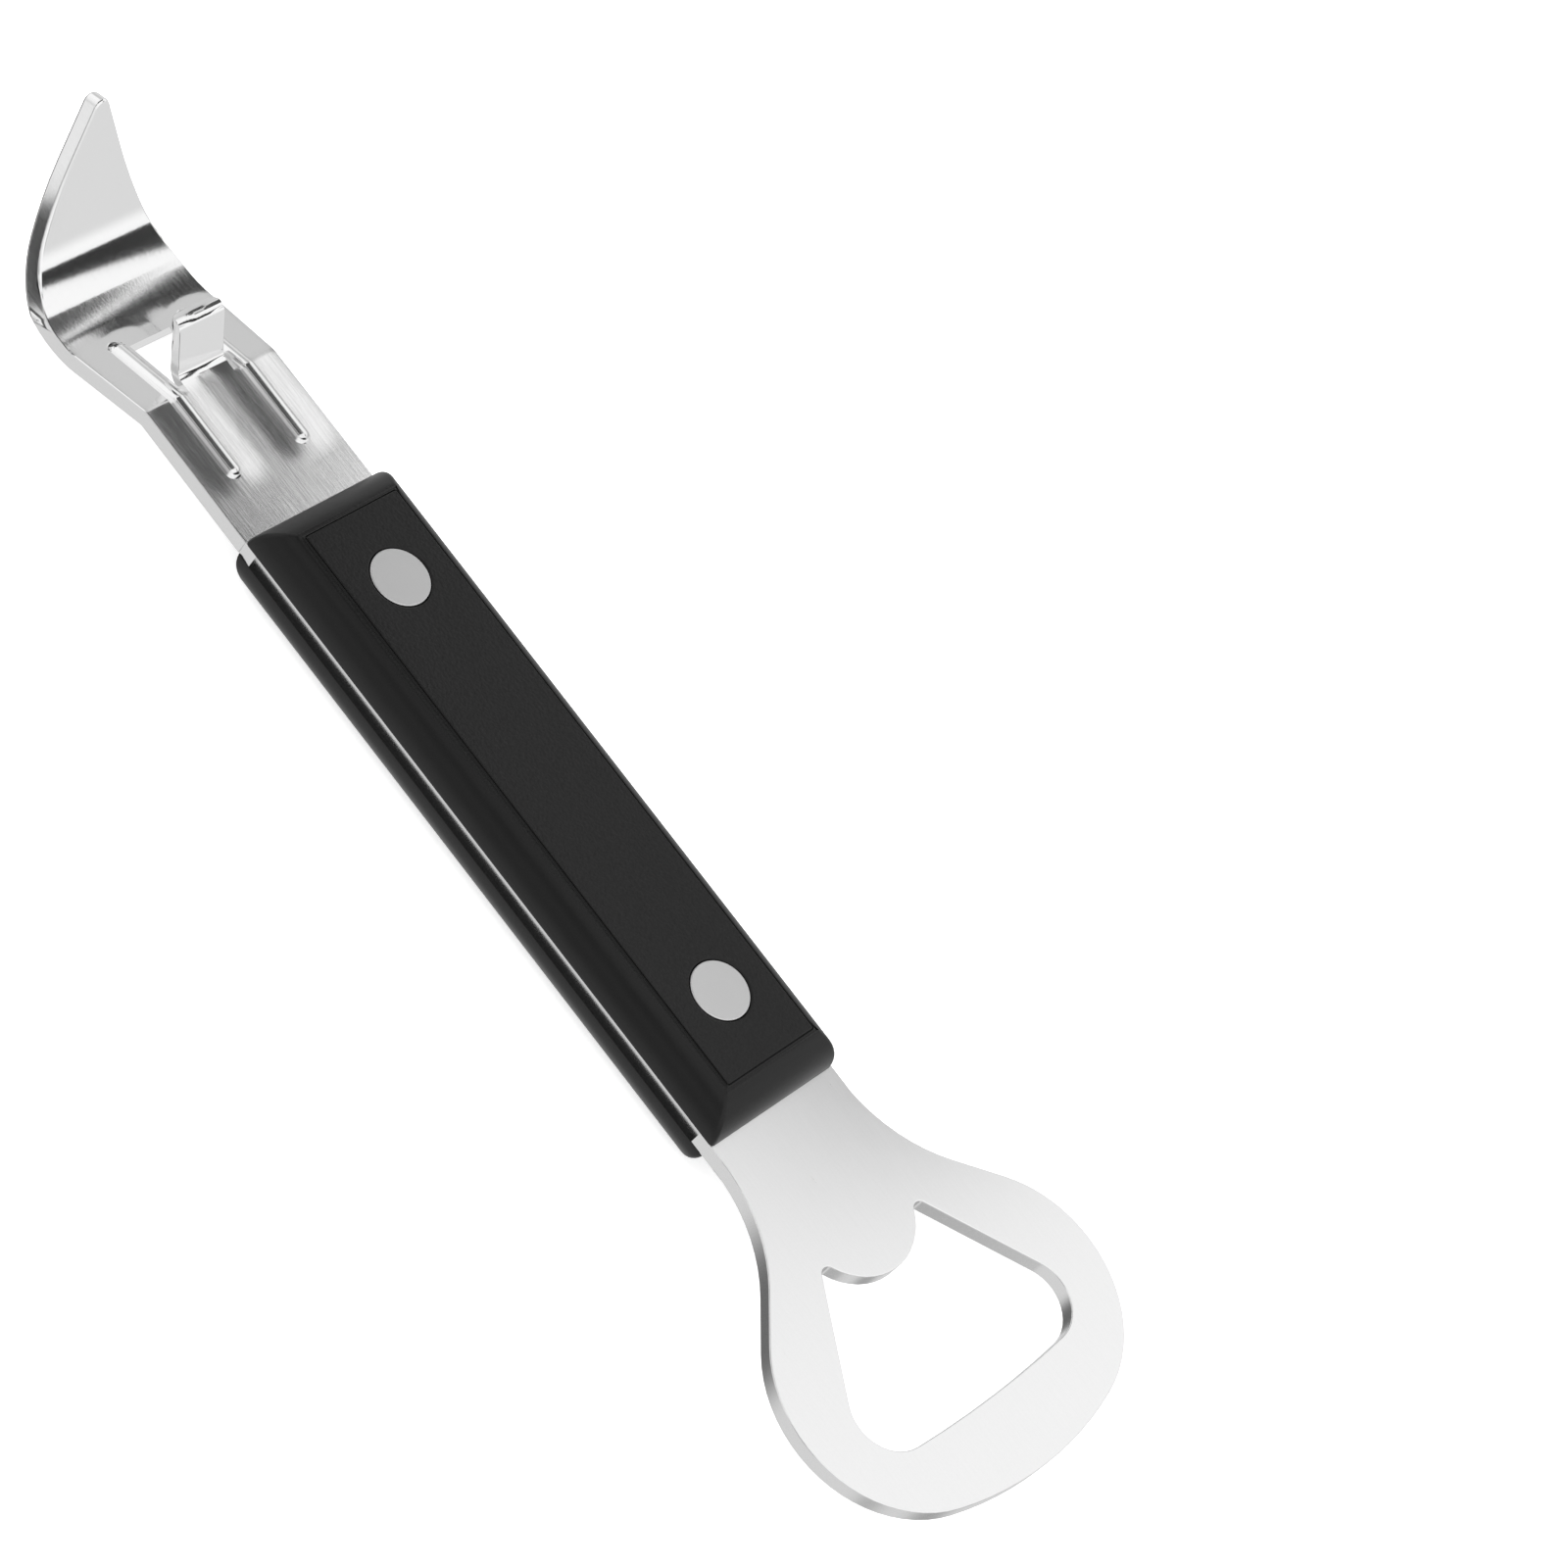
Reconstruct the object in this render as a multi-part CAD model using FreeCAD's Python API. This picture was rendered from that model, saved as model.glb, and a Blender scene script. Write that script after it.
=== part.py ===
import FreeCAD, Part
import math
import os

# Manual can opener. One stamped stainless plate carries the piercer, the catch lug and the
# cap-lifter head. Its tang lies between two moulded handle scales, held by two flush
# two-part rivets. The opener lies on the flat of its back scale.
# Millimetres. +X runs to the cap lifter, +Z is the side that the lug and the tip point to.
# The origin is the middle of the bounding box, on the surface that the opener rests on.

# Plate
sheet = 2.2                  # thickness of the stainless sheet
plate_half_width = 10.25     # half width of the plate where it leaves the handle
tang_inset = 0.7             # how far the tang's edges sit inside the scales' edges
tang_step = 2.0              # length of full-width plate left inside each end of the handle

# Cap-lifter head
head_half_width = 24.75
head_corner_radius = 15.8    # the two wide rounded corners
head_corner_setback = 17.1   # from the far end to the centres of those corners
neck_straight = 1.85         # plate edge between the handle and the concave curve
neck_fillet_radius = 21.0    # that curve, from the plate's edge into the head's flank
neck_flare_angle = 43.0      # slope of the head's flanks, degrees

# Mouth of the cap lifter
mouth_rim = 9.4              # metal between the mouth and the far end, on the axis
mouth_depth = 17.3           # tongue to far side, on the axis
mouth_side_rim = 7.25        # metal between the mouth and the head's widest points
mouth_side_angle = 31.3      # slope of its two sides, degrees
mouth_corner_radius = 5.2
mouth_far_radius = 170.0     # the far side is very slightly bowed
tongue_radius = 8.2          # the round tongue that presses on the cap
hook_radius = 1.0

# Piercer, along its front surface from the handle outwards
neck_length = 18.0           # flat plate between the handle and the crease
neck_waist = 0.1             # how much narrower each side is at the crease
crease_angle = 18.0          # the plate dips back here, degrees
bend_inside_radius = 0.8
slope_length = 10.6
dip_radius = 10.8
dip_turn = 73.9              # out of the slope and into the blade, degrees
sweep_radius = 40.0
sweep_turn = 11.8            # the long curve of the blade, degrees
blade_straight = 7.6         # straight end of the blade
shoulder_flare = 0.35        # how much wider each side is where the blade is widest
shoulder_radius = 4.0
tip_half_angle = 22.9        # taper of the blade seen square on, degrees
tip_radius = 1.2

# Catch lug, lanced out of the plate behind the piercer
lug_width = 7.1
lug_thickness = 1.2
lug_root = 1.6               # from the crease to where the lug starts to rise
lug_root_radius = 1.5
lug_angle = 60.0             # slope of the lug, degrees
lug_rise = 4.9               # straight part of the lug
lug_hook_turn = 85.0         # its free end turns towards the piercer, degrees
lug_hook_radius = 0.2        # inside that turn
lug_land = 0.5
lug_corner_radius = 1.0
lug_gap = 0.45               # between the lug and each side of its window
window_length = 9.2          # from the crease to the window's far side

# Pressed stiffening beads, one each side of the lug and across the crease
bead_gap = 1.45              # from the window's side to the bead's middle
bead_radius = 1.5
bead_height = 0.6
bead_on_neck = 11.4          # crease to the bead's round end, on the flat
bead_on_slope = 11.2         # crease to the other round end

# Handle scales
handle_length = 84.4
scale_edge = 0.05            # scale's edge beyond the plate's edge
scale_height = 5.25
flank_width = 3.0            # from the scale's edge in to the raised flat
land_end_inset = 4.0         # from the handle's ends to the raised flat
land_height = 0.35
land_edge_radius = 0.3
flank_bulge = 0.8            # how far the flanks bow outwards
hip_radius = 0.6             # where a long flank meets a short one

# Rivets
rivet_inset = 13.2           # from each end of the handle
rivet_head_diameter = 7.4
rivet_head_height = 1.6
rivet_shank_diameter = 3.0
rivet_tube_diameter = 4.6
rivet_bore_clearance = 0.02  # radial, inside the tube
rivet_tip_gap = 0.8          # between a shank's end and the tube's head
head_clearance = 0.08        # radial, round each rivet head
hole_clearance = 0.15        # radial, round each rivet tube

# Levels of the stack, and the handle's ends
plate_back = scale_height
plate_front = plate_back + sheet
top_level = plate_front + scale_height
handle_half = handle_length / 2
crease_x = -handle_half - neck_length

# Half widths and places that follow from the sizes above
scale_half_width = plate_half_width + scale_edge
land_half_width = scale_half_width - flank_width
shoulder_half_width = plate_half_width + shoulder_flare
mouth_half_width = head_half_width - mouth_side_rim
window_half_width = lug_width / 2 + lug_gap
bead_offset = window_half_width + bead_gap
rivet_reach = handle_half - rivet_inset


def vec(x=0.0, y=0.0, z=0.0):
    return FreeCAD.Vector(x, y, z)


def line(a, b):
    return Part.LineSegment(a, b).toShape()


def arc(a, middle, b):
    return Part.Arc(a, middle, b).toShape()


def arc_about(centre, radius, start_deg, end_deg):
    # Arc in the XY plane; the angles say which way it runs.
    def at(deg):
        a = math.radians(deg)
        return centre + vec(radius * math.cos(a), radius * math.sin(a))
    return arc(at(start_deg), at((start_deg + end_deg) / 2), at(end_deg))


def face_of(edges):
    return Part.Face(Part.Wire(edges))


def box(low, high):
    size = high - low
    return Part.makeBox(size.x, size.y, size.z, low)


def mirrored_in_y(edges):
    # The same outline on the other side of the centre line, in running order.
    return [edge.mirror(vec(0, 0), vec(0, 1)) for edge in reversed(edges)]


# A path in the XZ plane is a list of moves: ("line", length) or ("arc", radius, degrees).
# It starts heading for -X. A positive angle turns it down, to the back of the plate.
# The offset is measured to the back of the path.

def trace(start, moves, offset):
    heading = math.pi
    edges = []

    def to_back(angle):
        return vec(-math.sin(angle), 0, math.cos(angle))

    def ahead(angle):
        return vec(math.cos(angle), 0, math.sin(angle))

    point = start + to_back(heading) * offset
    for move in moves:
        if move[0] == "line":
            target = point + ahead(heading) * move[1]
            edges.append(line(point, target))
        else:
            turn = math.radians(move[2])
            side = 1.0 if turn > 0 else -1.0
            radius = move[1] - side * offset
            centre = point + to_back(heading) * (side * radius)
            half = to_back(heading + turn / 2) * (-side * radius)
            full = to_back(heading + turn) * (-side * radius)
            target = centre + full
            edges.append(arc(point, centre + half, target))
            heading += turn
        point = target
    return edges, point, heading


def strip(start, moves, thickness, half_width):
    # Sheet bent along a path, as wide as twice half_width.
    front, front_end, _ = trace(start, moves, 0.0)
    back, back_end, _ = trace(start, moves, thickness)
    back_start = start + vec(0, 0, -thickness)
    edges = front + [line(front_end, back_end)] + back + [line(back_start, start)]
    face = Part.Face(Part.Wire(Part.sortEdges(edges)[0]))
    face.translate(vec(0, -half_width, 0))
    return face.extrude(vec(0, 2 * half_width, 0))


def head_flank():
    # Centres of the concave curve and of the wide corner, and the flank's two ends, which
    # touch them.
    flare = math.radians(neck_flare_angle)
    off_edge = vec(-math.sin(flare), math.cos(flare))
    fillet = vec(handle_half + neck_straight, plate_half_width + neck_fillet_radius)
    flank_start = fillet - off_edge * neck_fillet_radius
    corner_y = head_half_width - head_corner_radius
    flank_rise = corner_y + off_edge.y * head_corner_radius - flank_start.y
    flank_end = flank_start + vec(flank_rise / math.tan(flare), flank_rise)
    corner = flank_end - off_edge * head_corner_radius
    return fillet, flank_start, flank_end, corner


def head_end():
    return head_flank()[3].x + head_corner_setback


def head_outline():
    # Half outline of the head from the plate's edge to the far end, then mirrored.
    fillet, flank_start, flank_end, corner = head_flank()
    # The far end is one arc that touches both corners.
    reach = head_corner_setback - head_corner_radius
    end_radius = head_corner_radius + (corner.y ** 2 + reach ** 2) / (2 * reach)
    end_centre = vec(head_end() - end_radius, 0)
    touch = math.degrees(math.atan2(corner.y, corner.x - end_centre.x))
    start = vec(handle_half - tang_step, plate_half_width)
    half = [
        line(start, vec(fillet.x, plate_half_width)),
        arc_about(fillet, neck_fillet_radius, -90, -90 + neck_flare_angle),
        line(flank_start, flank_end),
        arc_about(corner, head_corner_radius, 90 + neck_flare_angle, touch),
        arc_about(end_centre, end_radius, touch, 0),
    ]
    closing = line(vec(start.x, -start.y), start)
    return half + mirrored_in_y(half) + [closing]


def mouth_outline():
    # Half outline from the tongue's tip round the hook, the side and the far corner.
    mouth_far = head_end() - mouth_rim
    tongue_tip = mouth_far - mouth_depth
    slope = math.radians(mouth_side_angle)
    along = vec(math.cos(slope), math.sin(slope))
    outward = vec(-math.sin(slope), math.cos(slope))
    # The corner touches the widest level and lies inside the bowed far side.
    far_centre = vec(mouth_far - mouth_far_radius, 0)
    corner_y = mouth_half_width - mouth_corner_radius
    inner = mouth_far_radius - mouth_corner_radius
    corner = vec(far_centre.x + math.sqrt(inner ** 2 - corner_y ** 2), corner_y)
    side_end = corner + outward * mouth_corner_radius
    far_touch = math.degrees(math.atan2(corner.y, corner.x - far_centre.x))
    # The hook's circle touches the side line and the round of the tongue.
    tongue_centre = vec(tongue_tip - tongue_radius, 0)
    offset = side_end - outward * hook_radius - tongue_centre
    projected = offset.dot(along)
    spread = (tongue_radius + hook_radius) ** 2 - offset.dot(offset) + projected ** 2
    hook = tongue_centre + offset - along * (projected - math.sqrt(spread))
    join = math.degrees(math.atan2(hook.y, hook.x - tongue_centre.x))
    half = [
        arc_about(tongue_centre, tongue_radius, 0, join),
        arc_about(hook, hook_radius, join + 180, 90 + mouth_side_angle),
        line(hook + outward * hook_radius, side_end),
        arc_about(corner, mouth_corner_radius, 90 + mouth_side_angle, far_touch),
        arc_about(far_centre, mouth_far_radius, far_touch, 0),
    ]
    return half + mirrored_in_y(half)


def head():
    plate = face_of(head_outline()).extrude(vec(0, 0, sheet))
    mouth = face_of(mouth_outline()).extrude(vec(0, 0, sheet))
    shape = plate.cut(mouth)
    shape.translate(vec(0, 0, plate_back))
    return shape


def tang():
    half_width = scale_half_width - tang_inset
    inner = handle_half - tang_step
    shape = box(vec(-inner, -half_width, plate_back), vec(inner, half_width, plate_front))
    for x in (-rivet_reach, rivet_reach):
        radius = rivet_tube_diameter / 2 + hole_clearance
        shape = shape.cut(Part.makeCylinder(radius, sheet, vec(x, 0, plate_back)))
    return shape


def piercer_moves():
    crease_radius = sheet + bend_inside_radius
    return [
        ("line", tang_step + neck_length),
        ("arc", crease_radius, crease_angle),
        ("line", slope_length),
        ("arc", dip_radius, -dip_turn),
        ("arc", sweep_radius, -sweep_turn),
        ("line", blade_straight),
    ]


def neck_mask(shoulder_x):
    # Seen from above: full width at the handle, a slight waist at the crease, then the
    # shoulder. Beyond the shoulder the blade's own outline takes over.
    waist = plate_half_width - neck_waist
    run_past_tip = 12 * sheet
    mask_height = 8 * top_level
    mask_drop = 3 * top_level
    far = shoulder_x - run_past_tip
    start = -handle_half + tang_step
    outline = [(start, plate_half_width), (-handle_half, plate_half_width), (crease_x, waist),
               (shoulder_x, shoulder_half_width), (far, shoulder_half_width)]
    upper = [vec(x, y) for x, y in outline]
    lower = [vec(x, -y) for x, y in reversed(outline)]
    shape = Part.Face(Part.makePolygon(upper + lower + upper[:1])).extrude(vec(0, 0, mask_height))
    shape.translate(vec(0, 0, -mask_drop))
    return shape


def blade_mask(tip, heading):
    # Seen square on to the straight end of the blade: a taper with a round tip, which runs
    # into the shoulders. Drawn with its tip at the origin, pointing to +X, then set in place.
    taper = math.radians(tip_half_angle)
    rise = vec(-math.cos(taper), math.sin(taper))
    off_side = vec(math.sin(taper), math.cos(taper))
    round_centre = vec(-tip_radius, 0)
    side_start = round_centre + off_side * tip_radius
    side_length = (shoulder_half_width - side_start.y) / rise.y
    corner = side_start + rise * side_length
    # A rounded shoulder turns the tapered side into the straight one.
    tangent = shoulder_radius * math.tan(taper / 2)
    off_side_end = corner - rise * tangent
    on_straight = corner + vec(-tangent, 0)
    shoulder_middle = vec(on_straight.x, on_straight.y - shoulder_radius)
    reach = 6 * shoulder_half_width
    outer = vec(on_straight.x - reach, on_straight.y)
    half = [
        arc_about(round_centre, tip_radius, 0, 90 - tip_half_angle),
        line(side_start, off_side_end),
        arc_about(shoulder_middle, shoulder_radius, 90 - tip_half_angle, 90),
        line(on_straight, outer),
    ]
    edges = half + [line(outer, vec(outer.x, -outer.y))] + mirrored_in_y(half)
    depth = 4 * shoulder_half_width
    shape = face_of(edges).extrude(vec(0, 0, 2 * depth))
    shape.translate(vec(0, 0, -depth))
    shape.rotate(vec(0, 0), vec(0, 1), -math.degrees(heading))
    shape.translate(tip)
    return shape


def bead(shift):
    # A pressed bead on each side of the lug: round-ended, straight on the flat and on the
    # slope. The shift lowers it by the sheet's thickness, for its hollow at the back.
    sink = bead_radius - bead_height
    slope = math.radians(crease_angle)
    knee = vec(crease_x, 0, plate_front - sink - shift)
    down = vec(-math.cos(slope), 0, -math.sin(slope))
    parts = []
    for y in (-bead_offset, bead_offset):
        middle = knee + vec(0, y)
        for direction, length in ((vec(1, 0), bead_on_neck - bead_radius),
                                  (down, bead_on_slope - bead_radius)):
            parts.append(Part.makeCylinder(bead_radius, length, middle, direction))
            parts.append(Part.makeSphere(bead_radius, middle + direction * length))
        parts.append(Part.makeSphere(bead_radius, middle))
    return parts[0].multiFuse(parts[1:])


def lug():
    # The strip starts well inside the flat neck, so that it is one piece with the plate.
    buried = 2 * sheet
    moves = [
        ("line", buried + lug_root),
        ("arc", lug_root_radius, -lug_angle),
        ("line", lug_rise),
        ("arc", lug_thickness + lug_hook_radius, lug_hook_turn),
        ("line", lug_land),
    ]
    start = vec(crease_x + buried, 0, plate_front)
    shape = strip(start, moves, lug_thickness, lug_width / 2)
    _, end, heading = trace(start, moves, 0.0)
    outward = vec(math.cos(heading), 0, math.sin(heading))
    return rounded_free_corners(shape, end, outward)


def rounded_free_corners(shape, end, outward):
    # The two corners of the lug's free end, seen square on to its land.
    found = []
    for edge in shape.Edges:
        middle = edge.valueAt((edge.FirstParameter + edge.LastParameter) / 2)
        on_side = abs(abs(middle.y) - lug_width / 2) < 1e-6
        if on_side and abs((middle - end).dot(outward)) < 1e-6:
            found.append(edge)
    return shape.makeFillet(lug_corner_radius, found)


def window():
    low = vec(crease_x - window_length, -window_half_width, -top_level)
    return box(low, vec(crease_x - lug_root, window_half_width, plate_front + sheet))


def opener_plate():
    start = vec(-handle_half + tang_step, 0, plate_front)
    _, tip, heading = trace(start, piercer_moves(), 0.0)
    _, shoulder, _ = trace(start, piercer_moves()[:3], 0.0)
    shape = strip(start, piercer_moves(), sheet, 1.5 * shoulder_half_width)
    shape = shape.common(neck_mask(shoulder.x))
    shape = shape.common(blade_mask(tip, heading))
    shape = shape.cut(window())
    shape = shape.fuse(bead(0.0)).cut(bead(sheet))
    shape = shape.multiFuse([lug(), tang(), head()])
    return shape.removeSplitter()


def scale_block():
    # One handle scale with its joint face at z = 0: bowed flanks all round, mitred where
    # the long and the short flanks meet, and a raised flat on top.
    shoulder = scale_height - land_height
    rim = 2 * land_edge_radius

    def flank(base, top_inset):
        base_edge = vec(base, 0)
        top_edge = vec(base - top_inset, shoulder)
        chord = top_edge - base_edge
        outward = vec(chord.y, -chord.x) * (1 / chord.Length)
        middle = base_edge + chord * 0.5 + outward * flank_bulge
        right = arc(base_edge, middle, top_edge)
        mirrored = right.mirror(vec(0, 0), vec(1, 0))
        top = line(top_edge, vec(-top_edge.x, top_edge.y))
        bottom = line(vec(-base, 0), base_edge)
        return face_of([right, top, mirrored, bottom])

    across = flank(scale_half_width, flank_width - rim)
    across.rotate(vec(0, 0), vec(1, 1, 1), 120)
    across.translate(vec(-handle_half))
    across = across.extrude(vec(handle_length))
    along = flank(handle_half, land_end_inset - rim)
    along.rotate(vec(0, 0), vec(1, 0), 90)
    along.translate(vec(0, -scale_half_width))
    along = along.extrude(vec(0, 2 * scale_half_width))
    body = across.common(along)
    hips = [edge for edge in body.Edges if edge.Curve.TypeId == "Part::GeomBSplineCurve"]
    body = body.makeFillet(hip_radius, hips)
    land_half_length = handle_half - land_end_inset
    land = box(vec(-land_half_length, -land_half_width, 0),
               vec(land_half_length, land_half_width, scale_height))
    top_edges = [e for e in land.Edges if e.BoundBox.ZMin > scale_height - 1e-6]
    return body.fuse(land.makeFillet(land_edge_radius, top_edges)).removeSplitter()


def front_scale():
    shape = scale_block()
    shape.translate(vec(0, 0, plate_front))
    return shape.cut(rivet_seats())


def back_scale():
    shape = scale_block().mirror(vec(), vec(0, 0, 1))
    shape.translate(vec(0, 0, plate_back))
    return shape.cut(rivet_seats())


def rivet_places():
    return {"piercer_end": -rivet_reach, "head_end": rivet_reach}


def rivet_seats():
    # Everything that is drilled and counterbored through the handle for both rivets.
    seat_radius = rivet_head_diameter / 2 + head_clearance
    hole_radius = rivet_tube_diameter / 2 + hole_clearance
    parts = []
    for x in rivet_places().values():
        parts.append(Part.makeCylinder(hole_radius, top_level, vec(x)))
        parts.append(Part.makeCylinder(seat_radius, rivet_head_height, vec(x)))
        parts.append(Part.makeCylinder(seat_radius, rivet_head_height,
                                       vec(x, 0, top_level - rivet_head_height)))
    return parts[0].multiFuse(parts[1:])


def rivet_pin(x):
    # The solid half: a flush head on the front and a shank pressed into the tube.
    head_under = top_level - rivet_head_height
    shank_end = rivet_head_height + rivet_tip_gap
    shape = Part.makeCylinder(rivet_head_diameter / 2, rivet_head_height, vec(x, 0, head_under))
    shank = Part.makeCylinder(rivet_shank_diameter / 2, head_under - shank_end, vec(x, 0, shank_end))
    return shape.fuse(shank).removeSplitter()


def rivet_tube(x):
    # The hollow half: a flush head on the back and a tube that reaches the other head.
    length = top_level - 2 * rivet_head_height
    bore_radius = rivet_shank_diameter / 2 + rivet_bore_clearance
    shape = Part.makeCylinder(rivet_head_diameter / 2, rivet_head_height, vec(x))
    tube = Part.makeCylinder(rivet_tube_diameter / 2, length, vec(x, 0, rivet_head_height))
    bore = Part.makeCylinder(bore_radius, length, vec(x, 0, rivet_head_height))
    return shape.fuse(tube.cut(bore)).removeSplitter()


def main():
    nodes = {
        "opener_plate": opener_plate(),
        "front_scale": front_scale(),
        "back_scale": back_scale(),
    }
    for end, x in rivet_places().items():
        nodes["rivet_pin_" + end] = rivet_pin(x)
        nodes["rivet_tube_" + end] = rivet_tube(x)
    bounds = nodes["opener_plate"].BoundBox
    to_middle = vec(-(bounds.XMin + bounds.XMax) / 2)
    os.makedirs("parts", exist_ok=True)
    for name, shape in nodes.items():
        shape.translate(to_middle)
        shape.exportStep("parts/" + name + ".step")
        print(name, round(shape.Volume, 1), shape.isValid(), len(shape.Solids))


main()
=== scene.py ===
import math
import bpy
from mathutils import Matrix, Vector


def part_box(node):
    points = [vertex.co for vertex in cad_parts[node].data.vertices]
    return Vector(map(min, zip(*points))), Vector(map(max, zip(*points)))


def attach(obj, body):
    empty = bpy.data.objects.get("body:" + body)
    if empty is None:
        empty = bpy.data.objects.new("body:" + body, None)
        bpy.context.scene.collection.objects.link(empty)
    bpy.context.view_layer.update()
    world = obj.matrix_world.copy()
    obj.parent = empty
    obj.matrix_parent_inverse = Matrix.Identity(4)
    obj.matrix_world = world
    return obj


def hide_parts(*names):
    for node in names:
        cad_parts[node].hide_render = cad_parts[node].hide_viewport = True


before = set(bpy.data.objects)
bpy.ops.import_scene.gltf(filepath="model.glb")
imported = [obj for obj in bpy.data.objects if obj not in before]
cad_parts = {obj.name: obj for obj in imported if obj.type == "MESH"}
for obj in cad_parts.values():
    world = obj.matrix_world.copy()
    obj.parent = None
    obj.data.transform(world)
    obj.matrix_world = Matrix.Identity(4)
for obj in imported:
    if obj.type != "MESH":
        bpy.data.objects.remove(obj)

mm = 0.001
scene = bpy.context.scene
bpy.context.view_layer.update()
print("frame loaded:", len(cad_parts), "nodes")

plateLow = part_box("opener_plate")[0]
frontLow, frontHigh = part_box("front_scale")
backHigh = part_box("back_scale")[1]
creaseX = plateLow.x + 32.1 * mm    # where the flat neck bends down into the piercer


class Wire:
    # An output socket that can be used in arithmetic.
    def __init__(self, tree, socket):
        self.tree = tree
        self.socket = socket

    def maths(self, operation, *values):
        node = self.tree.nodes.new("ShaderNodeMath")
        node.operation = operation
        for slot, value in zip(node.inputs, values):
            plug(self.tree, slot, value)
        return Wire(self.tree, node.outputs[0])

    def __add__(self, other):
        return self.maths("ADD", self, other)

    def __radd__(self, other):
        return self.maths("ADD", other, self)

    def __sub__(self, other):
        return self.maths("SUBTRACT", self, other)

    def __rsub__(self, other):
        return self.maths("SUBTRACT", other, self)

    def __mul__(self, other):
        return self.maths("MULTIPLY", self, other)

    def __rmul__(self, other):
        return self.maths("MULTIPLY", other, self)

    def __abs__(self):
        return self.maths("ABSOLUTE", self)


def plug(tree, slot, value):
    if isinstance(value, Wire):
        tree.links.new(value.socket, slot)
    else:
        slot.default_value = value


def grey(level):
    return (level, level, level, 1.0)


class Recipe:
    # The node tree of a material or a world while it is put together.
    def __init__(self, owner):
        owner.use_nodes = True
        self.owner = owner
        self.tree = owner.node_tree

    def node(self, kind, settings=None, inputs=None, output=0):
        made = self.tree.nodes.new("ShaderNode" + kind)
        for key, value in (settings or {}).items():
            setattr(made, key, value)
        for key, value in (inputs or {}).items():
            plug(self.tree, made.inputs[key], value)
        return Wire(self.tree, made.outputs[output])

    def place(self):
        return self.node("TexCoord", output="Object")

    def facing(self, axis):
        # How squarely the surface faces along an axis, from -1 to 1.
        return self.axis(self.node("TexCoord", output="Normal"), axis)

    def axis(self, vector, name):
        return self.node("SeparateXYZ", None, {"Vector": vector}, name)

    def ramp(self, value, low, high, fromLevel=0.0, toLevel=1.0):
        # fromLevel below low, toLevel above high, smooth between.
        return self.node("MapRange", {"interpolation_type": "SMOOTHSTEP"},
                         {"Value": value, "From Min": low, "From Max": high,
                          "To Min": fromLevel, "To Max": toLevel})

    def noise(self, vector, size, detail, roughness):
        # size is one feature's length along X, Y and Z.
        fine = self.node("Mapping", None, {"Vector": vector, "Scale": [1.0 / s for s in size]})
        return self.node("TexNoise", None, {"Vector": fine, "Scale": 1.0, "Detail": detail,
                                            "Roughness": roughness})

    def shade(self, tone):
        return self.node("CombineColor", None, {"Red": tone, "Green": tone, "Blue": tone})

    def relief(self, height, depth, **under):
        return self.node("Bump", None, {"Strength": 1.0, "Distance": depth, "Height": height, **under})

    def finish(self, **values):
        shader = self.tree.nodes["Principled BSDF"]
        for key, value in values.items():
            plug(self.tree, shader.inputs[key.replace("_", " ")], value)
        return self.owner


# Camera

cameraView = {
    "target": (13.0 * mm, 30.4 * mm, 7.45 * mm),
    "azimuth": 10.5,        # degrees round from looking along +Y
    "elevation": 48.0,
    "roll": 44.2,           # leans the opener down to the right
    "distance": 624.3 * mm,
    "lens": 125.8,
    "sensor": 36.0,
    "nearClip": 10 * mm,
}


def placeCamera(view):
    azimuth = math.radians(view["azimuth"])
    elevation = math.radians(view["elevation"])
    back = Vector((math.sin(azimuth) * math.cos(elevation),
                   -math.cos(azimuth) * math.cos(elevation), math.sin(elevation)))
    level = Vector((math.cos(azimuth), math.sin(azimuth), 0.0))
    right = Matrix.Rotation(math.radians(view["roll"]), 3, back) @ level
    data = bpy.data.cameras.new("openerCamera")
    data.lens = view["lens"]
    data.sensor_width = view["sensor"]
    data.clip_start = view["nearClip"]
    camera = bpy.data.objects.new("openerCamera", data)
    scene.collection.objects.link(camera)
    turn = Matrix((right, back.cross(right), back)).transposed().to_4x4()
    camera.matrix_world = Matrix.Translation(Vector(view["target"]) + back * view["distance"]) @ turn
    scene.camera = camera


placeCamera(cameraView)
print("camera placed")


# Steel: satin head, brushed neck, polished piercer, plain cut edges

steelLook = {
    "headTone": 0.83, "neckTone": 0.80, "piercerTone": 0.86, "wallTone": 0.80,
    "headRoughness": 0.30, "neckRoughness": 0.17, "piercerRoughness": 0.09, "wallRoughness": 0.24,
    "headFade": (-5 * mm, 5 * mm),          # along X, inside the handle
    "piercerFade": (-2 * mm, 0.5 * mm),     # along X, from the crease
    "wallTurn": (0.35, 0.75),               # how far a surface has turned to be a cut edge
    "brushLine": (5.0 * mm, 0.20 * mm, 0.20 * mm),
    "brushTone": 0.45, "brushRoughness": 0.10,
    "headSmoothing": 0.9,                   # share of the brushing that the head's satin hides
    "speck": (0.30 * mm, 0.30 * mm, 0.30 * mm),
    "speckTone": 0.03, "speckShare": 0.5,
    "fineDepth": 0.004 * mm,
    # The sheet is drawn up a little all along the two pressed beads.
    "beadLine": 5.45 * mm, "swellTop": 0.3 * mm, "swellReach": 4.8 * mm, "swellHeight": 0.17 * mm,
    "swellEnds": (9.5 * mm, 13.5 * mm),     # to either side of the crease
    "swellFacing": (0.8, 0.95),             # on the upper face only
}


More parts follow.
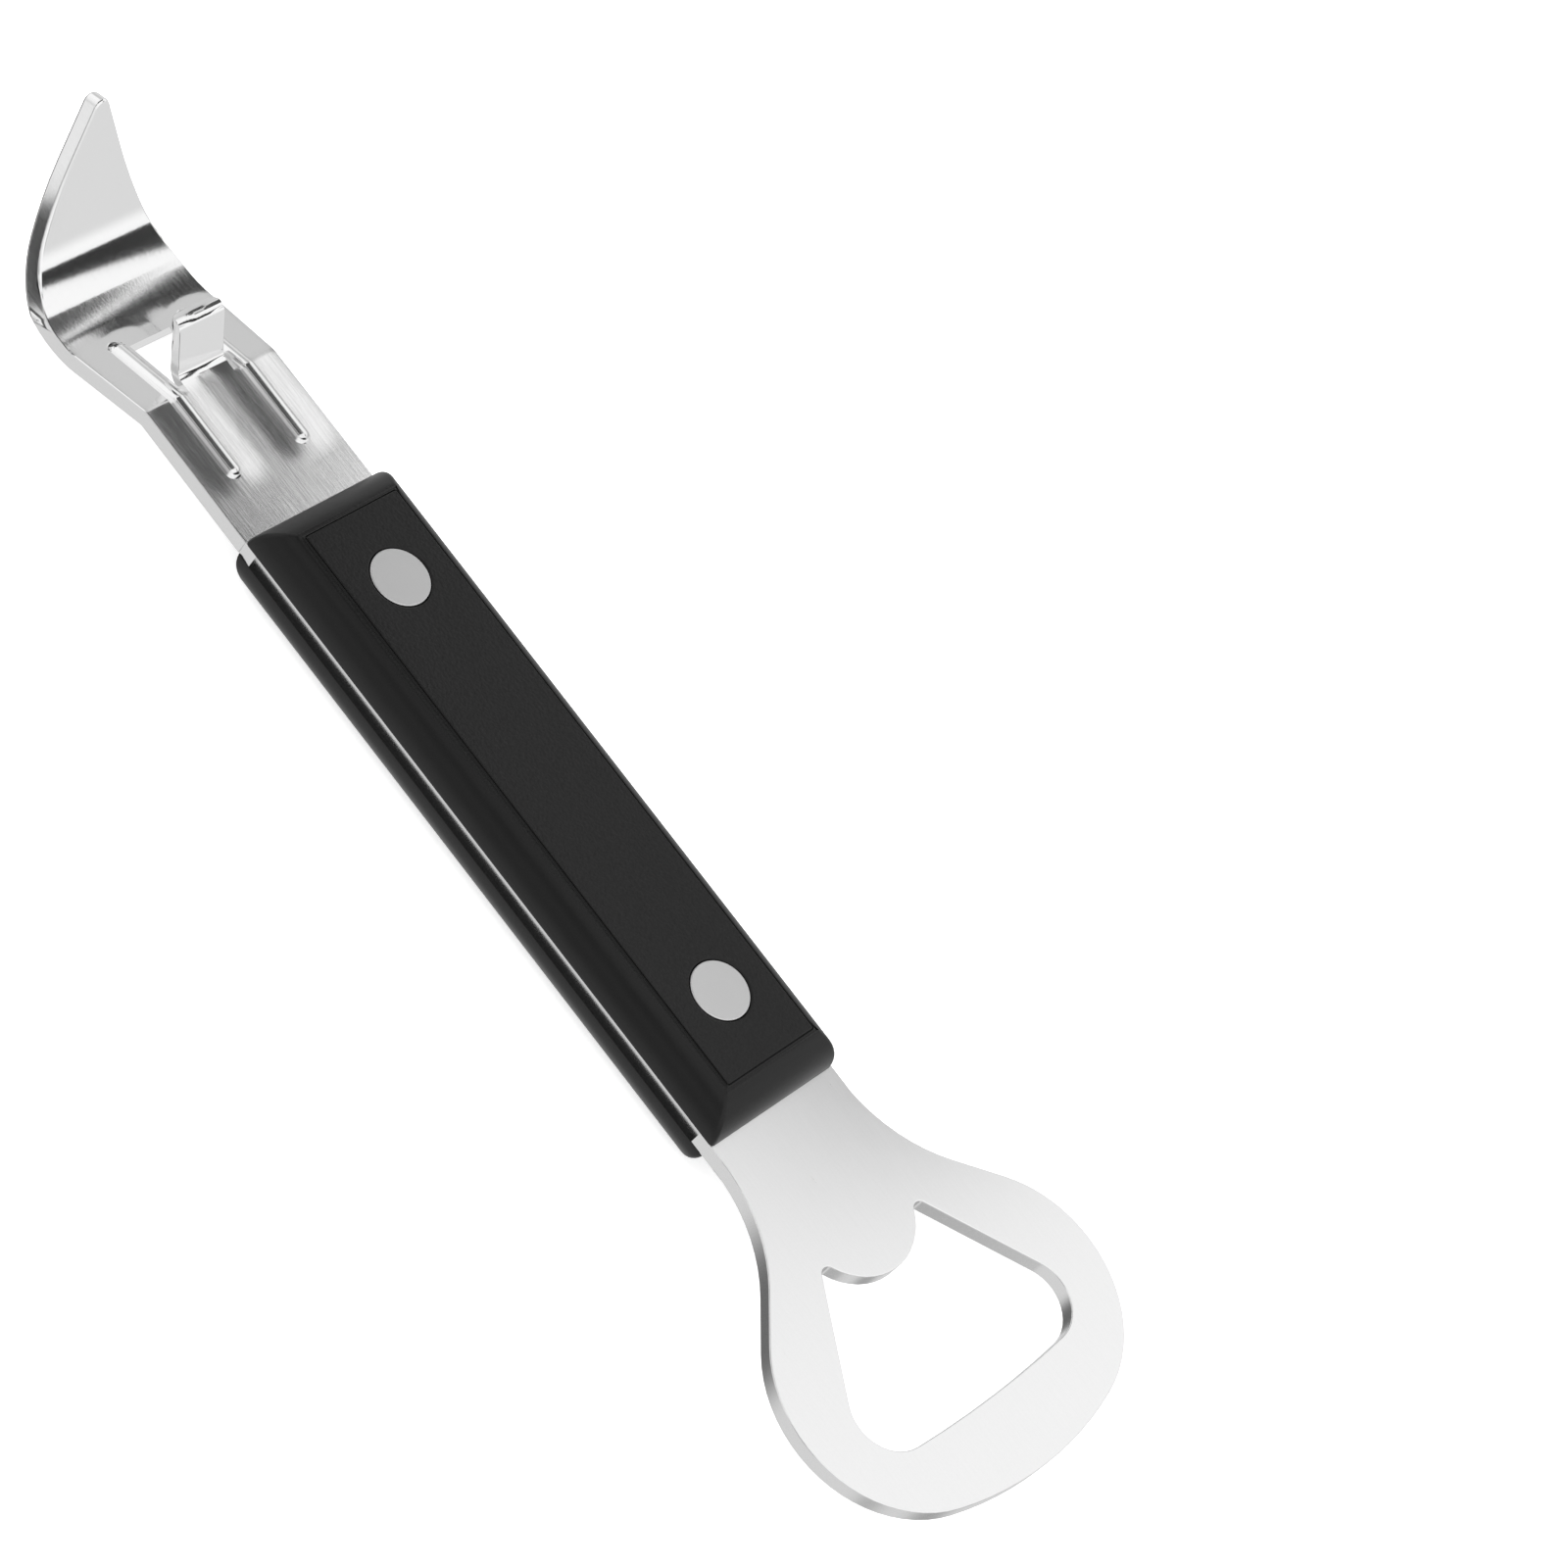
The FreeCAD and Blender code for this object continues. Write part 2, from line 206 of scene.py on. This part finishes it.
def stainlessSteel(look):
    r = Recipe(bpy.data.materials.new("stainlessSteel"))
    place = r.place()
    x = r.axis(place, "X")
    y = r.axis(place, "Y")
    facingY = r.facing("Y")
    facingZ = r.facing("Z")
    piercerFrom, piercerTo = (creaseX + fade for fade in look["piercerFade"])
    onHead = r.ramp(x, *look["headFade"])
    onPiercer = r.ramp(x, piercerFrom, piercerTo, 1.0, 0.0)
    headWall = onHead * r.ramp(abs(facingZ), *look["wallTurn"], 1.0, 0.0)
    bladeWall = (1.0 - onHead) * r.ramp(abs(facingY), *look["wallTurn"])
    wall = headWall + bladeWall

    def byZone(kind):
        # The value for the neck, changed on the head, the piercer and the cut edges.
        neck = look["neck" + kind]
        face = neck + onHead * (look["head" + kind] - neck) + onPiercer * (look["piercer" + kind] - neck)
        return face + wall * (look["wall" + kind] - face)

    brush = r.noise(place, look["brushLine"], 3.0, 0.6)
    speck = r.noise(place, look["speck"], 2.0, 0.6)
    brushed = (1.0 - onPiercer) * (1.0 - wall) * (1.0 - onHead * look["headSmoothing"])
    tone = byZone("Tone") + (speck - 0.5) * look["speckTone"] + (brush - 0.5) * brushed * look["brushTone"]
    rough = byZone("Roughness") + (brush - 0.5) * look["brushRoughness"]
    besideBead = r.ramp(abs(abs(y) - look["beadLine"]), look["swellTop"], look["swellReach"], 1.0, 0.0)
    alongBead = r.ramp(abs(x - creaseX), *look["swellEnds"], 1.0, 0.0)
    swell = r.relief(besideBead * alongBead * r.ramp(facingZ, *look["swellFacing"]), look["swellHeight"])
    fine = r.relief(brushed * brush + speck * onPiercer * look["speckShare"], look["fineDepth"], Normal=swell)
    return r.finish(Metallic=1.0, Base_Color=r.shade(tone), Roughness=rough, Normal=fine)


# Black plastic: pebbled on the raised flat, smoother on the flanks

plasticLook = {
    "tone": 0.0045, "landTone": 0.006,
    "roughness": 0.36, "landRoughness": 0.46,
    "specular": 0.27,
    "landFacing": (0.93, 0.985),            # the raised flat faces straight up or down
    "flankGrain": 0.15,                     # share of the pebbling on the flanks
    "pebble": (0.34 * mm, 0.34 * mm, 0.34 * mm),
    "pebbleHeight": 0.050 * mm, "pebbleTone": 0.006,
    "smear": (9 * mm, 3 * mm, 3 * mm), "smearRoughness": 0.08,
}


def blackPlastic(look):
    r = Recipe(bpy.data.materials.new("blackPlastic"))
    place = r.place()
    onLand = r.ramp(abs(r.facing("Z")), *look["landFacing"])
    pebble = r.noise(place, look["pebble"], 1.0, 0.4)
    smear = r.noise(place, look["smear"], 2.0, 0.5)
    grain = onLand * (1.0 - look["flankGrain"]) + look["flankGrain"]
    tone = look["tone"] + onLand * (look["landTone"] - look["tone"]) \
        + (pebble - 0.5) * grain * look["pebbleTone"]
    rough = look["roughness"] + onLand * (look["landRoughness"] - look["roughness"]) \
        + (smear - 0.5) * look["smearRoughness"]
    return r.finish(Metallic=0.0, Base_Color=r.shade(tone), Roughness=rough,
                    Normal=r.relief(pebble * grain, look["pebbleHeight"]),
                    Specular_IOR_Level=look["specular"])


# Rivets: flat satin heads

rivetLook = {
    "tone": 0.64, "roughness": 0.42,
    "grain": (0.22 * mm, 0.22 * mm, 0.22 * mm),
    "grainTone": 0.03, "grainRoughness": 0.06, "grainDepth": 0.003 * mm,
}


def rivetMetal(look):
    r = Recipe(bpy.data.materials.new("rivetMetal"))
    grain = r.noise(r.place(), look["grain"], 2.0, 0.6)
    return r.finish(Metallic=1.0, Base_Color=r.shade(look["tone"] + (grain - 0.5) * look["grainTone"]),
                    Roughness=look["roughness"] + (grain - 0.5) * look["grainRoughness"],
                    Normal=r.relief(grain, look["grainDepth"]))


# Pieces: each CAD shape with its sharp edges broken

edgeLook = {
    "plate": 0.40 * mm, "scale": 0.30 * mm, "rivet": 0.15 * mm,   # full width of a broken edge
    "plateSteps": 2, "scaleSteps": 3, "rivetSteps": 2,
    "outlineShare": 0.42,           # share of that width on the stamped outline
    "lugShare": 0.22,               # on the lug's own corners
    "bladeShare": 1.0,              # on the ground edges of the piercer
    "lugZone": (-9.5 * mm, 12.5 * mm),      # along X, from the crease
    "lugZoneHalfWidth": 8 * mm,
    "lugClear": 0.8 * mm,           # above the plate, where the lug's own corners start
    "handleMargin": 1 * mm,
    "bladeStart": 19 * mm,          # beyond the crease
    "seamDepth": 2 * mm,
    "sharpFrom": 28.0,              # degrees
    "mergeDistance": 0.002 * mm,
    "flatWithin": 0.2,              # degrees
}


def deselectAll():
    if bpy.context.object and bpy.context.object.mode != "OBJECT":
        bpy.ops.object.mode_set(mode="OBJECT")
    bpy.ops.object.select_all(action="DESELECT")


def plateShare(point):
    # How much of the full width an edge of the steel plate gets, by where it is.
    zoneFrom, zoneTo = (creaseX + offset for offset in edgeLook["lugZone"])
    margin = edgeLook["handleMargin"]
    if zoneFrom < point.x < zoneTo and abs(point.y) < edgeLook["lugZoneHalfWidth"]:
        return edgeLook["lugShare"] if point.z > frontLow.z + edgeLook["lugClear"] else 0.0
    if frontLow.x - margin < point.x < frontHigh.x + margin:
        return 0.0
    if point.x < creaseX - edgeLook["bladeStart"]:
        return edgeLook["bladeShare"]
    return edgeLook["outlineShare"]


def scaleShare(point):
    # The edges that lie against the plate stay sharp.
    seam = (backHigh.z + frontLow.z) / 2
    return 0.0 if abs(point.z - seam) < edgeLook["seamDepth"] else 1.0


def rivetShare(point):
    return 1.0


def weighSharpEdges(piece, share):
    bpy.ops.object.mode_set(mode="EDIT")
    bpy.ops.mesh.select_all(action="DESELECT")
    bpy.ops.mesh.select_mode(type="EDGE")
    bpy.ops.mesh.edges_select_sharp(sharpness=math.radians(edgeLook["sharpFrom"]))
    bpy.ops.object.mode_set(mode="OBJECT")
    weight = piece.data.attributes.new("bevel_weight_edge", "FLOAT", "EDGE")
    for edge in piece.data.edges:
        if edge.select:
            start, end = (piece.data.vertices[v].co for v in edge.vertices)
            weight.data[edge.index].value = share((start + end) / 2)


def finishedCopy(nodeName, pieceName, kind, material, share):
    deselectAll()
    piece = bpy.data.objects.new(pieceName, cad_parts[nodeName].data.copy())
    scene.collection.objects.link(piece)
    bpy.context.view_layer.objects.active = piece
    piece.select_set(True)
    bpy.ops.mesh.customdata_custom_splitnormals_clear()
    bpy.ops.object.mode_set(mode="EDIT")
    bpy.ops.mesh.select_all(action="SELECT")
    bpy.ops.mesh.remove_doubles(threshold=edgeLook["mergeDistance"])
    bpy.ops.mesh.dissolve_limited(angle_limit=math.radians(edgeLook["flatWithin"]))
    bpy.ops.object.mode_set(mode="OBJECT")
    bpy.ops.object.shade_smooth_by_angle(angle=math.radians(edgeLook["sharpFrom"]))
    weighSharpEdges(piece, share)
    bevel = piece.modifiers.new("edgeBreak", "BEVEL")
    bevel.width = edgeLook[kind]
    bevel.segments = edgeLook[kind + "Steps"]
    bevel.limit_method = "WEIGHT"
    bevel.use_clamp_overlap = False
    bevel.harden_normals = True
    bpy.ops.object.modifier_apply(modifier="edgeBreak")
    piece.data.materials.clear()
    piece.data.materials.append(material)
    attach(piece, "root")
    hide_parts(nodeName)


steel = stainlessSteel(steelLook)
plastic = blackPlastic(plasticLook)
rivetSatin = rivetMetal(rivetLook)
finishedCopy("opener_plate", "openerPlate", "plate", steel, plateShare)
for side in ("front", "back"):
    finishedCopy(side + "_scale", side + "Scale", "scale", plastic, scaleShare)
for end in ("Piercer", "Head"):
    for half in ("Pin", "Tube"):
        node = "rivet_" + half.lower() + "_" + end.lower() + "_end"
        finishedCopy(node, "rivet" + half + end, "rivet", rivetSatin, rivetShare)
print("pieces made")


# Studio: a pale floor, two soft lamps and a room for the metal to mirror

studioLook = {
    "floorSize": 6.0, "floorTone": 0.92, "floorRoughness": 0.9, "floorGlow": 0.60,
    "room": 1.0,            # plain light from all round
    "sky": 1.09, "ground": 0.80, "horizon": (0.12, 0.36),
    "skySamples": 128,
    "lampSize": 1.2,
    "lamps": {"lampLeft": ((-0.9, -0.5, 1.6), 9.0), "lampRight": ((1.0, 0.7, 1.5), 7.2)},   # place, power
}

# What the metal mirrors: towards, half angle, soft edge, level.
roomParts = {
    "leftWall": ((-0.66, 0.60, 0.44), 14, 8, 0.66),
    "frontLamp": ((-0.38, -0.92, -0.12), 12, 8, 1.15),
    "frontDesk": ((-0.12, -0.98, 0.0), 14, 8, 0.40),
    "frontFlag": ((-0.12, -0.80, 0.60), 14, 6, 0.10),
    "floorShade": ((-0.66, 0.05, -0.74), 20, 16, 0.15),
    "floorStreak": ((0.61, -0.28, -0.74), 5, 4, 0.28),
    "floorFar": ((0.58, 0.33, -0.74), 8, 6, 0.35),
}

# Dark cards that only the metal mirrors: tone, then four corners in millimetres.
cards = {
    "dipCard": (0.03, [(-490, 380, 300), (-250, 243, 300), (-107, 243, 300), (-395, 380, 300)]),
    "bladeCard": (0.02, [(39, 98, 122), (-42.5, 145, 161), (47, 143, 95), (51, 99, 99)]),
    "neckCard": (0.05, [(-260, -160, 300), (-260, 230, 300), (-60, 230, 300), (-60, -160, 300)]),
    # The card beside the piercer's belly is a painted shadow: the metal mirrors it in place of the floor's
    # contact shadow, which it cannot see.
    "bellyShadowCard": (0.02, [(-85.9, -21.5, -2.4), (-95.4, -16.9, 5.5), (-92.4, -19.9, 11), (-82.9, -24.5, 3.1)]),
}


def makeRoom(look, parts):
    world = bpy.data.worlds.new("softStudio")
    r = Recipe(world)
    toward = r.node("TexCoord", output="Generated")
    x, y, z = (r.axis(toward, name) for name in "XYZ")
    level = r.ramp(z, *look["horizon"], look["ground"], look["sky"])
    for direction, halfAngle, edge, partLevel in parts.values():
        unit = Vector(direction).normalized()
        along = x * unit.x + y * unit.y + z * unit.z
        outer = math.cos(math.radians(halfAngle + edge))
        inner = math.cos(math.radians(halfAngle - edge))
        level = level + r.ramp(along, outer, inner) * (partLevel - level)
    mirrored = r.node("LightPath", output="Is Glossy Ray")
    background = r.tree.nodes["Background"]
    plug(r.tree, background.inputs["Color"], grey(1.0))
    plug(r.tree, background.inputs["Strength"], look["room"] + mirrored * (level - look["room"]))
    world.cycles.sampling_method = "MANUAL"
    world.cycles.sample_map_resolution = look["skySamples"]
    scene.world = world


def makeFloor(look):
    deselectAll()
    bpy.ops.mesh.primitive_plane_add(size=look["floorSize"], location=(0, 0, 0))
    floor = bpy.context.object
    floor.name = "paleFloor"
    floor.visible_glossy = False   # the metal mirrors the room instead
    r = Recipe(bpy.data.materials.new("palePaper"))
    floor.data.materials.append(r.finish(Base_Color=grey(look["floorTone"]), Roughness=look["floorRoughness"],
                                         Emission_Color=grey(1.0), Emission_Strength=look["floorGlow"]))


def makeLamp(name, spot, power, size):
    data = bpy.data.lights.new(name, "AREA")
    data.energy = power
    data.size = size
    lamp = bpy.data.objects.new(name, data)
    scene.collection.objects.link(lamp)
    turn = (-Vector(spot)).to_track_quat("-Z", "Y").to_matrix().to_4x4()
    lamp.matrix_world = Matrix.Translation(spot) @ turn
    lamp.visible_camera = False
    lamp.visible_glossy = False


def makeCard(name, tone, corners):
    deselectAll()
    bpy.ops.mesh.primitive_plane_add(size=1.0, location=(0, 0, 0))
    card = bpy.context.object
    card.name = name
    for v, corner in zip(card.data.polygons[0].vertices, corners):
        card.data.vertices[v].co = Vector(corner) * mm
    card.visible_camera = False
    card.visible_diffuse = False
    card.visible_shadow = False
    card.visible_transmission = False
    r = Recipe(bpy.data.materials.new(name))
    card.data.materials.append(r.finish(Base_Color=grey(tone), Roughness=1.0, Specular_IOR_Level=0.0))


makeRoom(studioLook, roomParts)
makeFloor(studioLook)
for name, (spot, power) in studioLook["lamps"].items():
    makeLamp(name, spot, power, studioLook["lampSize"])
for name, (tone, corners) in cards.items():
    makeCard(name, tone, corners)
scene.view_settings.view_transform = "Standard"
print("studio set")
